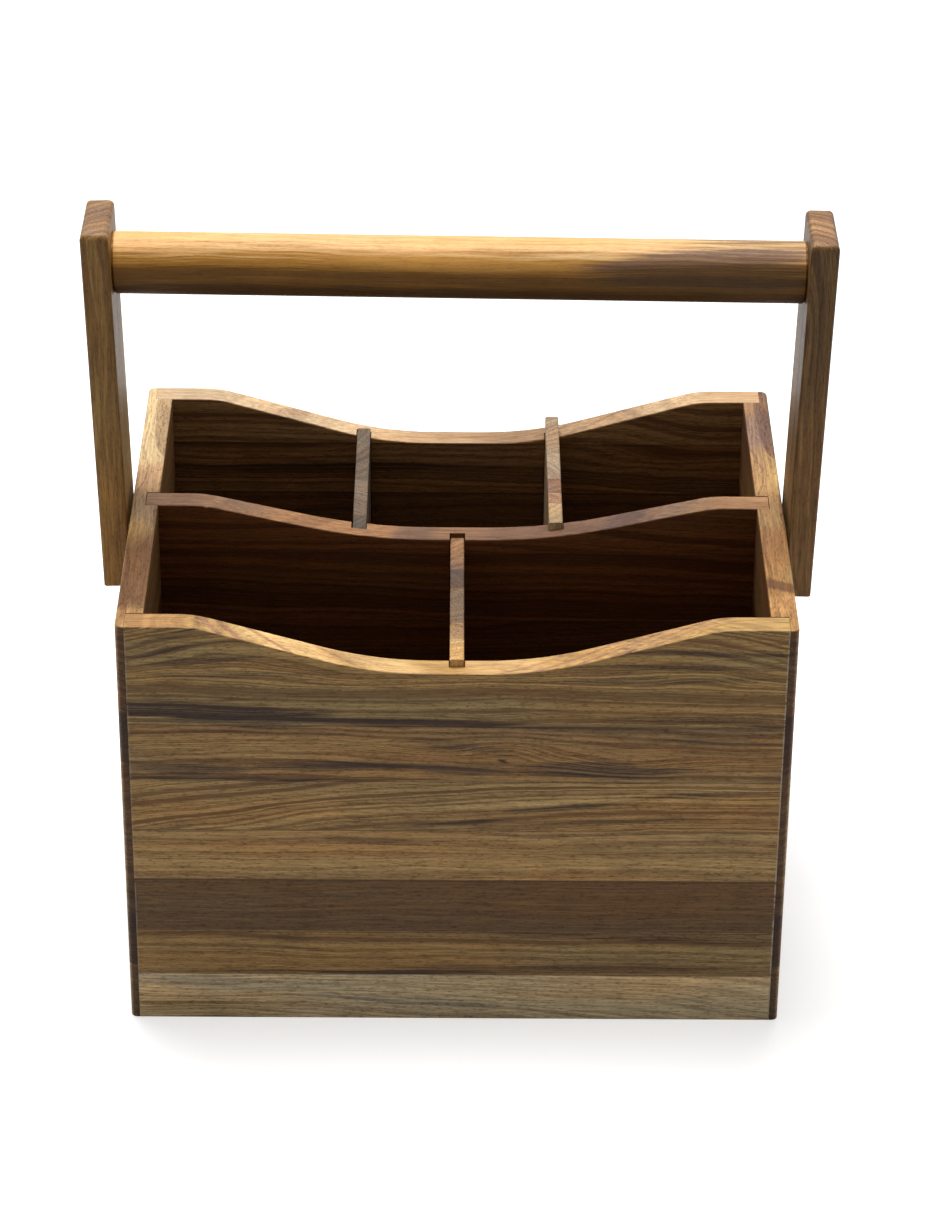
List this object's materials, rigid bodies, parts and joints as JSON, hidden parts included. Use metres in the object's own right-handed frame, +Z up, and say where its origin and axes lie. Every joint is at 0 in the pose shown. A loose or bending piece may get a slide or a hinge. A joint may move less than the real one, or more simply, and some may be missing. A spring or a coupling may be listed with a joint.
{
  "type": "utensil caddy",
  "caption": "Open wooden utensil caddy with dipped front, back and middle walls, slotted cross dividers and a round-gripped carrying handle that swings over the box.",
  "frame": {"origin": "centre of the caddy's footprint, on the surface that it stands on", "axes": "+X to the caddy's right as seen from its two-compartment front, +Y to the back, +Z up"},
  "size_m": [0.3354, 0.226, 0.3514],
  "materials": {
    "acacia_wall": "oiled satin",
    "acacia_divider": "oiled satin",
    "acacia_arm": "oiled satin",
    "acacia_grip": "oiled satin",
    "zinc_steel": "zinc plated"
  },
  "bodies": {
    "caddy": {"front_panel": "acacia_wall", "back_panel": "acacia_wall", "left_side": "acacia_wall", "right_side": "acacia_wall", "base_panel": "acacia_divider", "mid_divider": "acacia_divider", "front_cross_divider": "acacia_divider", "rear_left_cross_divider": "acacia_divider", "rear_right_cross_divider": "acacia_divider", "left_pivot_screw": "zinc_steel", "right_pivot_screw": "zinc_steel", "wall_washers": "zinc_steel", "head_washers": "zinc_steel"},
    "handle": {"left_arm": "acacia_arm", "right_arm": "acacia_arm", "grip_dowel": "acacia_grip", "left_grip_plug": "acacia_arm", "right_grip_plug": "acacia_arm", "left_grip_screw": "zinc_steel", "right_grip_screw": "zinc_steel"}
  },
  "joints": [
    {"name": "handle_swing", "type": "hinge", "parent": "caddy", "child": "handle", "pos_m": [0, 0.002, 0.192], "axis": [1, 0, 0], "range_deg": [-110, 108]}
  ]
}
